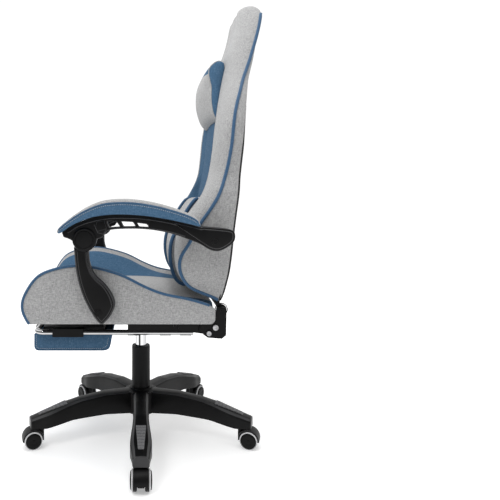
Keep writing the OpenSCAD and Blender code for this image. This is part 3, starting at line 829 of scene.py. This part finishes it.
def pillow(name, node, front_line, rear_line, half, mats, recede, top=0):
    """A pillow drawn across X. Towards its ends the front falls back, by recede at the seam. The first
    top columns of the front take the colour of the ends."""
    count = 30
    front = even(through(front_line), count)
    rear = even(through(rear_line), count)
    faces, backs = [], []
    for x in np.linspace(-half, half, 27):
        t = abs(x) / half
        fall = recede(np.linspace(0, 1, count))[:, None] * t ** 3.2
        pinch = 1 - 0.03 * t ** 4
        centre = (front.mean(axis=0) + rear.mean(axis=0)) / 2
        line = front * (1 - fall) + rear * fall
        line = centre + (line - centre) * pinch
        hind = centre + (rear - centre) * pinch
        line[0], line[-1] = hind[0], hind[-1]
        faces.append(yz(x, line))
        backs.append(yz(x, hind))
    cover = Cover(faces, backs, (7, 7), 7)
    cover.pin(cover.front_id[[0, -1]])
    cover.pin(cover.back_id)

    def colour(kind, s, c):
        return 1 if kind == "end" or (kind == "front" and c < top) else 0

    obj = cover.build(name, mats, colour, "back", node, 8, cover.rims(0.85, 0.7))
    return obj, cover


def lumbar_pillow():
    """Grey pillow with blue piping round its ends."""
    obj, cover = pillow("lumbar_cover", "lumbar_pillow", LUMBAR_FRONT, LUMBAR_REAR, LUMBAR_HALF,
                        [GREY, GREY], lambda u: 0 * u + 0.02)
    for side, k in SIDES:
        path = cover.line(obj, cover.front_id[k][1:-1])
        path = path + np.array([8 if k else -8, -5, 0]) * MM
        link(f"lumbar_piping_{side}", tube(path, 5.2), PIPING, "back")


def head_pillow():
    """Pillow on the headrest, with a grey front panel and blue top and ends."""
    heights = np.linspace(1076, 915, 12)
    behind = [(BACK_CENTRE(z) + 3, z) for z in heights]
    behind[0], behind[-1] = HEAD_FRONT[0], HEAD_FRONT[-1]
    obj, cover = pillow("head_cover", "head_pillow", HEAD_FRONT, behind, HEAD_HALF, [GREY, BLUE],
                        lambda u: 0.04 + 0.44 * smoothstep(u, 0.2, 0.5), 9)
    for side, k in SIDES:
        path = cover.line(obj, cover.front_id[k][1:-1])
        link(f"head_seam_{side}", tube(path, 1.3), GREY, "back")


# ---- Footrest pad ----


def footrest_pad():
    """Boxed pad under the board, with seams near its lower edge and ends."""
    low, high = (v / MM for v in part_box("footrest_pad"))
    y0, y1, z0, z1, half = low.y + 2, high.y + 4, low.z + 1.5, high.z - 0.2, high.x - 3
    side = [(y0, z1), (y0, z1 - 8), (y0, z0 + 10), (y0 + 2.6, z0 + 3), (y0 + 9, z0), (y0 + 20, z0),
            (y1 - 34, z0), (y1 - 22, z0), (y1 - 11, z0 + 3.5), (y1 - 6, z0 + 13), (y1 - 2, z1 - 9), (y1, z1)]
    front = even(through(side, 6), 72)
    top = np.linspace(front[0], front[-1], 72)
    xs = np.linspace(-half, half, 27)
    cover = Cover([yz(x, front) for x in xs], [yz(x, top) for x in xs], (6, 6), 4)
    cover.pin(cover.front_id[[0, -1]])
    cover.pin(cover.back_id)
    creases = cover.rims(0.9, 0.9) + [(cover.front_id[:, k], 0.9) for k in (0, -1)]
    obj = cover.build("footrest_cover", [BLUE], lambda kind, s, c: 0, "footrest_pad",
                      "footrest_pad", 4, creases)
    for side, k in SIDES:
        path = cover.line(obj, cover.front_id[k])
        link(f"footrest_edge_{side}", tube(path, 1.7), PIPING, "footrest_pad")
    loop = even([(y0 + 5, z1 - 4), (y0 + 5, z0 + 9), (y0 + 12, z0 + 5), (y1 - 26, z0 + 5),
                 (y1 - 14, z0 + 12), (y1 - 8, z1 - 4)], 60)
    for n, sign in enumerate((-1, 1)):
        path = yz(sign * (half + 3.3), loop)
        link(f"footrest_stitch_{n}", stitches(path, 0.5), THREAD, "footrest_pad")


# ---- Armrests ----

ARM_A = np.array([-106.0, 417.0])
ARM_LINK = np.array([-30.0, 183.0])
ARM_B = ARM_A + ARM_LINK
ARM_C = np.array([208.0, 412.0]) + ARM_LINK
ARM_IN, ARM_FRAME_IN, ARM_FRAME_OUT, ARM_OUT = 262.0, 286.4, 320.4, 349.5
ARM_UNDER = [(-190, 617), (-166, 634), (-140, 646), (-109, 656), (-63, 661), (-2, 659), (61, 650),
             (120, 637), (145, 630)]
ARM_TAIL = [(150, 631), (196, 627), (216, 624), (225, 617), (226, 602), (219, 590), (202, 578), (184, 572),
            (164, 576), (140, 590), (104, 604), (66, 616), (20, 624), (-30, 626), (-78, 622), (-92, 606),
            (-108, 600), (-120, 592), (-150, 588), (-170, 600), (-186, 606)]
RIM_STEP = 2.5
ARM_WINDOWS = [[(-77, 629), (-50, 630.5), (-60, 644), (-82, 643)],
               [(-42, 631), (-13, 631.5), (-19, 642), (-48, 643.5)],
               [(-4, 630.5), (19, 629.5), (14, 637), (-10, 640)]]
PAD_CROWN = [(141, 632), (138, 645), (120, 660), (72, 678), (26, 690), (-20, 697), (-66, 697), (-100, 691),
             (-140, 672), (-176, 646), (-199, 624), (-196, 612)]
SUPPORT_EDGE = [(-166, 578), (-160, 518), (-147, 468), (-127, 424), (-101, 389), (-84, 398), (-70, 418),
                (-64, 438), (-72, 462), (-88, 485), (-115, 512), (-127, 543), (-129, 572)]


def arm_pad(side, sign):
    """Padded rest: grey top panel, blue sides."""
    count = 54
    under = even([p for p in through(ARM_UNDER) if p[0] < 139], count)
    crown = even(through(PAD_CROWN)[::-1], count)
    x0, x1 = ARM_IN + 2, ARM_OUT - 2
    middle, half = (x0 + x1) / 2, (x1 - x0) / 2
    xs = both_ways([0, 0.3, 0.52, 0.7, 0.84, 0.93, 0.985, 1])
    drop = {1.0: 0.24, 0.985: 0.16, 0.93: 0.085, 0.84: 0.035, 0.7: 0.01}
    tops, bottoms = [], []
    for t in xs:
        fall = drop.get(abs(round(float(t), 3)), 0)
        line = crown * (1 - fall) + under * fall
        line[0], line[-1] = crown[0] * 0.5 + under[0] * 0.5, crown[-1] * 0.5 + under[-1] * 0.5
        bottom = under.copy()
        bottom[0], bottom[-1] = line[0], line[-1]
        tops.append(yz(sign * (middle + t * half), line))
        bottoms.append(yz(sign * (middle + t * half), bottom))
    cover = Cover(tops, bottoms, (6, 6), 3.5)
    cover.pin(cover.front_id[[0, -1]], 0.9)
    cover.pin(cover.back_id)

    def colour(kind, s, c):
        return 0 if kind == "front" else 1

    body = f"armrest_{side}"
    obj = cover.build(f"arm_pad_cover_{side}", [GREY, BLUE], colour, body, f"arm_pad_{side}",
                      3, cover.rims(0.8, 0.8))
    for n, k in enumerate((0, -1)):
        path = cover.line(obj, cover.front_id[k][2:-2])
        link(f"arm_seam_{side}_{n}", tube(path, 1.5), PIPING, body)
        lowered = path + np.array([0, 0, -5.0 * MM])
        link(f"arm_stitch_{side}_{n}", stitches(lowered, 0.5, 1.2, (sign if k else -sign, 0, 0)),
             THREAD, body)


def window(corners):
    """A slanted window of the arm frame with rounded corners."""
    points = []
    for i, p in enumerate(corners):
        a, c = np.array(corners[i - 1]), np.array(corners[(i + 1) % 4])
        p = np.array(p, float)
        u, v = (a - p) / np.linalg.norm(a - p), (c - p) / np.linalg.norm(c - p)
        for t in np.linspace(0, 1, 5):
            points.append(tuple((1 - t) ** 2 * (p + 3 * u) + 2 * t * (1 - t) * p + t**2 * (p + 3 * v)))
    return points


def pick(side, mesh):
    """The mesh drawn for the left side, for either side."""
    return mesh if side == "left" else mirrored(mesh)


def arm_frame(side):
    """Moulded frame: rounded edges, a raised rim, three windows, the round boss and the rear screw."""
    top = [(y, z - 0.4) for y, z in through(ARM_UNDER, 4)]
    outline = top + [tuple(p) for p in through(ARM_TAIL, 5)]
    holes = [window(corners) for corners in ARM_WINDOWS]
    shell = plate([outline] + holes, ARM_FRAME_IN, ARM_FRAME_OUT - RIM_STEP, 1.8)
    lobe = [p for p in top if p[0] > 60] + [p for p in outline[len(top):] if p[0] > 149]
    rim = plate([lobe], ARM_FRAME_OUT - 12, ARM_FRAME_OUT, 2.2, 5)
    boss = lathe([(20, 0), (28, 1), (29, 3), (29, 31.5), (27.6, 33.6), (25, 34.4), (23.4, 34.2),
                  (22.4, 33.2), (21, 33.2), (20, 34.4), (12, 35), (2, 35.2)],
                 (ARM_FRAME_IN, *ARM_B), "X")
    screw = lathe([(9.4, 0), (9.4, 2.4), (8.4, 3), (6.6, 3), (6.2, 1.4), (1, 1.4)],
                  (ARM_FRAME_OUT - 2, *ARM_C), "X")
    # The beads and ribs are raised, and coloured in the lighter edge material as painted highlight lines.
    upper = through([(-176, 616), (-150, 632), (-118, 643), (-70, 651), (-2, 650), (61, 641), (120, 627),
                     (196, 620), (214, 612)], 8)
    lower = through([(-66, 626), (-30, 628.4), (20, 626.6), (68, 619.4), (106, 608)], 8)
    beads = [highlight_painted(tube(yz(ARM_FRAME_OUT - 2.6, line), 1.5)) for line in (upper, lower)]
    wedge = [(-110, 628), (-104, 616), (-90, 612), (-82, 626), (-88, 646), (-106, 644)]
    block = plate([wedge], ARM_FRAME_OUT - 14, ARM_FRAME_OUT - 0.5, 1.5)
    ribs = [highlight_painted(tube(yz(ARM_FRAME_OUT - 1.4, line), 1.1))
            for line in ([(-112, 636), (-104, 620), (-84, 626)], [(-81, 637), (-72, 640), (-60, 645)])]
    mesh = joined([shell, rim, boss, screw, block] + beads + ribs)
    link(f"arm_frame_shell_{side}", finish_mesh(pick(side, mesh), 40), [BLACK, EDGE_PAINTED_HIGHLIGHT], f"armrest_{side}",
         f"arm_frame_{side}")


def arm_support(side):
    """Leaf-shaped link with a rounded rim, a raised face and the screw covers."""
    outline = [tuple(p) for p in through(SUPPORT_EDGE, 5)]
    outer = ARM_IN + 24
    shell = plate([outline], ARM_IN, outer - 1.5, 4)
    face = plate([outline], outer - 8, outer, 2, 7)
    eye = lathe([(18, 0), (26, 1), (27, 3), (27, 21), (25, 24), (4, 24)], (ARM_IN + 1, *ARM_B), "X")
    screw = lathe([(9, 0), (9, 1.2), (8, 1.8), (6.6, 1.8), (6.2, 0.8), (1, 0.8)], (outer, *ARM_A), "X")
    # A raised bead along the face, coloured in the lighter edge material as a painted highlight line.
    ridge = through([(-134, 566), (-132, 540), (-120, 510), (-94, 482), (-79, 458), (-72, 436)], 8)
    bead = highlight_painted(tube(yz(outer + 0.1, ridge), 1.2))
    mesh = joined([shell, face, eye, screw, bead])
    link(f"arm_support_shell_{side}", finish_mesh(pick(side, mesh), 40), [BLACK, EDGE_PAINTED_HIGHLIGHT],
         f"arm_support_{side}", f"arm_support_{side}")


# ---- Base and castors ----

LEG_TOP = [(36, 133), (112, 133), (185, 124), (222, 115), (318, 86), (328, 84)]
LEG_UNDER = [(36, 68), (111, 73), (211, 69), (284, 56), (328, 56)]
LEG_PLAN = [(36, 24), (150, 21), (200, 22), (245, 26), (275, 27.5), (303, 23), (328, 20.5)]
STEM_REACH, AXLE_REACH, AXLE_Z, WHEEL_R = 297.0, 320.0, 25.0, 25.0
HUB_RIM_R, HUB_RIM_Z = 45.4, 130.8
GUARD_HALF, WEB_HALF = 19, 8.4


def leg():
    """One leg along +X: a shell open below, with a bevelled top and cross ribs."""
    top = np.array(LEG_TOP, float)
    under = np.array(LEG_UNDER, float)
    plan = through(LEG_PLAN, 8)
    stations = np.concatenate([np.linspace(36, 318, 42), [322, 325, 327, 328]])
    verts = []
    for x in stations:
        w = np.interp(x, plan[:, 0], plan[:, 1])
        z1, z0 = np.interp(x, top[:, 0], top[:, 1]), np.interp(x, under[:, 0], under[:, 1])
        end = smoothstep(x, 322, 328)
        w, z1, z0 = w - end, z1 - end, z0 + end
        hollow = max(6.0, z1 - z0 - 11) if 44 < x < 268 else 1.5
        wall = 4.0
        half = [(0, z1 + 0.6), (w * 0.5, z1), (w * 0.66, z1 - 0.8), (w * 0.74, z1 - 3.2),
                (w - 2.5, z1 - 5.5), (w - 0.7, z1 - 7.5), (w, z1 - 10), (w, z0 + 3), (w - 1, z0 + 0.6),
                (w - 2.2, z0), (w - wall, z0), (w - wall, z0 + hollow), (0, z0 + hollow)]
        ring = half + [(-a, b) for a, b in half[-2:0:-1]]
        verts += [(x * MM, a * MM, b * MM) for a, b in ring]
    size = len(ring)
    mesh = ringed("leg", verts, size)
    # Painted highlight: the bevel strips of the top and the faces at the tip end get the lighter edge
    # material.
    for n, polygon in enumerate(mesh.polygons):
        bevel = n % size in (2, 3, size - 4, size - 3) or n >= size * (len(stations) - 3)
        polygon.material_index = 1 if bevel else 0
    ribs = [rib(x, np.interp(x, plan[:, 0], plan[:, 1]) - 3, np.interp(x, top[:, 0], top[:, 1]) - 8)
            for x in range(90, 240, 45)]
    return finish_mesh(joined([mesh] + ribs), 28)


def rib(x, half, top):
    """A cross rib in the hollow of a leg."""
    bm = bmesh.new()
    made = bmesh.ops.create_cube(bm, size=1)
    low = np.interp(x, [111, 211], [75, 71])
    for v in made["verts"]:
        v.co = Vector(((x + (v.co.x + 0.5) * 3) * MM, v.co.y * 2 * half * MM,
                       ((top + low) / 2 + v.co.z * (top - low)) * MM))
    return baked(bm, "rib")


def star_base():
    """Hub and five legs in one moulding."""
    hub = lathe([(27.2, 67), (43, 66), (46, 69), (46, 128), (43.5, 132), (36, 133), (34, 135), (34, 137),
                 (33, 138), (27.2, 138)], (0, 0, 0))
    # Painted highlight: a thin ring in the lighter edge material along the hub's top edge.
    rim = np.array([(HUB_RIM_R * math.cos(a), HUB_RIM_R * math.sin(a), HUB_RIM_Z)
                    for a in np.radians(np.arange(0, 360, 5))])
    rim = highlight_painted(tube(rim * MM, 0.9, True))
    one = leg()
    mesh = joined([hub, rim] + [turned(one, 72 * i) for i in range(5)])
    link("base_star", finish_mesh(mesh, 28), [BLACK, EDGE_PAINTED_HIGHLIGHT], "base", "star_base")


def wheel_profile():
    """Half profiles of a wheel from its inner face out: tread, light ring and domed disc."""
    r = WHEEL_R
    body = [(4.2, 9.4), (r - 3, 9.3), (r - 0.8, 10.3), (r, 12.5), (r, 18.8), (r - 0.5, 19.5), (r - 2, 19.7)]
    ring = [(r - 2, 19.5), (r - 0.7, 19.6), (r - 0.3, 20.2), (r - 0.4, 22.2), (r - 1.2, 23), (r - 3, 23.2),
            (r - 3.6, 22.3)]
    disc = [(r - 3.5, 22.6), (r - 3.4, 23.6), (r - 4, 24.7), (r - 5.4, 25.6), (r - 8, 26.3), (9, 26.9),
            (8.2, 26.5), (5.5, 26.5), (4.8, 27), (0.5, 27.2)]
    return body, ring, disc


def axle_arc(radius, start, stop):
    """Points of an arc about the wheels' axle, angles in degrees from level upward."""
    angles = np.radians(np.linspace(start, stop, 24))
    return [(AXLE_REACH + radius * math.cos(a), AXLE_Z + radius * math.sin(a)) for a in angles]


def castor(i):
    """Hood with a rounded guard over the wheels, and the two wheels with light rings."""
    angle = 72 * (i - 1)
    guard = axle_arc(WHEEL_R + 4.2, -4, 184) + axle_arc(WHEEL_R + 1.2, 184, -4)
    web = axle_arc(WHEEL_R + 2.6, -12, 192)
    web += [(AXLE_REACH - 14, AXLE_Z - 11), (AXLE_REACH + 14, AXLE_Z - 11)]
    parts = [plate([guard], -GUARD_HALF, GUARD_HALF, 1.3), plate([web], -WEB_HALF, WEB_HALF, 1.5)]
    upright = Matrix.Rotation(-math.pi / 2, 4, "Z")
    for part in parts:
        part.transform(upright)
    collar = lathe([(5.6, 22), (8.5, 22), (8.5, 53), (7.6, 54), (5.6, 54)], (STEM_REACH, 0, 0), sides=32)
    boss = lathe([(3, 8.2), (12, 8.2), (12, 9), (3, 9)], (0, 0, 0), sides=32)
    axle = Matrix.Translation((AXLE_REACH * MM, 0, AXLE_Z * MM))
    boss.transform(axle @ Matrix.Rotation(math.pi / 2, 4, "X"))
    mesh = finish_mesh(turned(joined(parts + [collar, boss]), angle), 40)
    link(f"castor_shell_{i}", mesh, [BLACK, EDGE_PAINTED_HIGHLIGHT], f"castor_{i}", f"castor_hood_{i}")
    for key, direction in (("a", 1), ("b", -1)):
        wheel = f"wheel_{i}_{key}"
        names = (("tread", NYLON, wheel), ("ring", RING, None), ("disc", BLACK, None))
        for (word, mat, node), profile in zip(names, wheel_profile()):
            part = lathe(profile, (0, 0, 0))
            part.transform(axle @ Matrix.Rotation(math.pi / 2 * direction, 4, "X"))
            link(f"wheel_{word}_{i}{key}", turned(part, angle), mat, wheel, node)


# ---- Back panel ----


def back_panel():
    """Thin moulded panel over the lower back, rounded at its edges."""
    low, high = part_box("back_panel")
    levels = np.linspace(low.z / MM + 1, high.z / MM, 60)
    xs = both_ways([0, 0.3, 0.6, 0.85, 0.95, 0.985, 1])
    thickness = np.interp(abs(xs), [0.6, 0.85, 0.95, 0.985, 1], [6.6, 6.4, 6.0, 4.8, 0.5])
    inner, outer = [], []
    for z in levels:
        half = min(247.0, BACK_HALF(z) - 8.5)
        y = BACK_REAR(z)
        lift = thickness * (0.04 + 0.96 * smoothstep(high.z / MM - z, 10, 120))
        rise = y + 2.4 - 2 * xs**2
        outer.append([(x * half * MM, (r + h) * MM, z * MM) for x, r, h in zip(xs, rise, lift)])
        inner.append([(x * half * MM, r * MM, z * MM) for x, r in zip(xs, rise)])
    cover = Cover(outer, inner, (2, 2))
    cover.build("back_lower_panel", [LINING], lambda kind, s, c: 0, "back", "back_panel", 0,
                ())


# ---- Stage ----


def stage():
    """Pale floor, and a white sky that is dimmer on the camera's side."""
    bpy.ops.mesh.primitive_plane_add(size=80, location=(0, 0, -0.0005))
    floor = bpy.context.object
    floor.name = "studio_floor"
    floor.data.materials.append(stage_material())
    world = bpy.data.worlds.new("studio")
    scene.world = world
    world.use_nodes = True
    tree = world.node_tree
    background = tree.nodes["Background"]
    coords = tree.nodes.new("ShaderNodeTexCoord")
    split = tree.nodes.new("ShaderNodeSeparateXYZ")
    tree.links.new(coords.outputs["Generated"], split.inputs[0])
    fade = tree.nodes.new("ShaderNodeMapRange")
    for socket, value in (("From Min", 0.0), ("From Max", 0.75), ("To Min", 1.05), ("To Max", 0.25)):
        fade.inputs[socket].default_value = value
    tree.links.new(split.outputs["X"], fade.inputs["Value"])
    tree.links.new(fade.outputs["Result"], background.inputs["Strength"])
    background.inputs["Color"].default_value = (1, 1, 1, 1)


def area_light(name, place, target, size, power):
    """A soft light at place that faces target; size is its width and height in metres."""
    data = bpy.data.lights.new(name, "AREA")
    data.shape = "RECTANGLE"
    data.size, data.size_y = size
    data.energy = power
    obj = bpy.data.objects.new(name, data)
    obj.location = place
    obj.rotation_euler = (Vector(target) - Vector(place)).to_track_quat("-Z", "Y").to_euler()
    scene.collection.objects.link(obj)


def lights():
    """Key light over the front, a long one overhead and a weak fill at the rear."""
    area_light("key", (1.25, -0.8, 1.95), (0, 0.2, 1.35), (0.8, 0.8), 17)
    area_light("top", (0.4, 0.1, 2.9), (0, 0, 0.5), (0.5, 2.6), 30)
    area_light("fill", (2.2, 1.8, 1.6), (0, 0, 0.6), (0.8, 0.8), 1.5)


def camera():
    """Level camera beside the chair, with its centre on the gas lift, as in the photograph."""
    data = bpy.data.cameras.new("camera")
    data.sensor_width = 36
    data.lens = 37.8
    data.shift_x = 0.218
    data.shift_y = -0.10
    obj = bpy.data.objects.new("camera", data)
    obj.location = (1.5766, 0, 0.695)
    obj.rotation_euler = (math.pi / 2, 0, math.pi / 2)
    scene.collection.objects.link(obj)
    scene.camera = obj


paint_nodes()
seat()
backrest()
back_panel()
lumbar_pillow()
head_pillow()
footrest_pad()
for side, sign in (("left", 1), ("right", -1)):
    arm_pad(side, sign)
    arm_frame(side)
    arm_support(side)
star_base()
for number in range(1, 6):
    castor(number)
stage()
lights()
camera()
scene.view_settings.view_transform = "Standard"
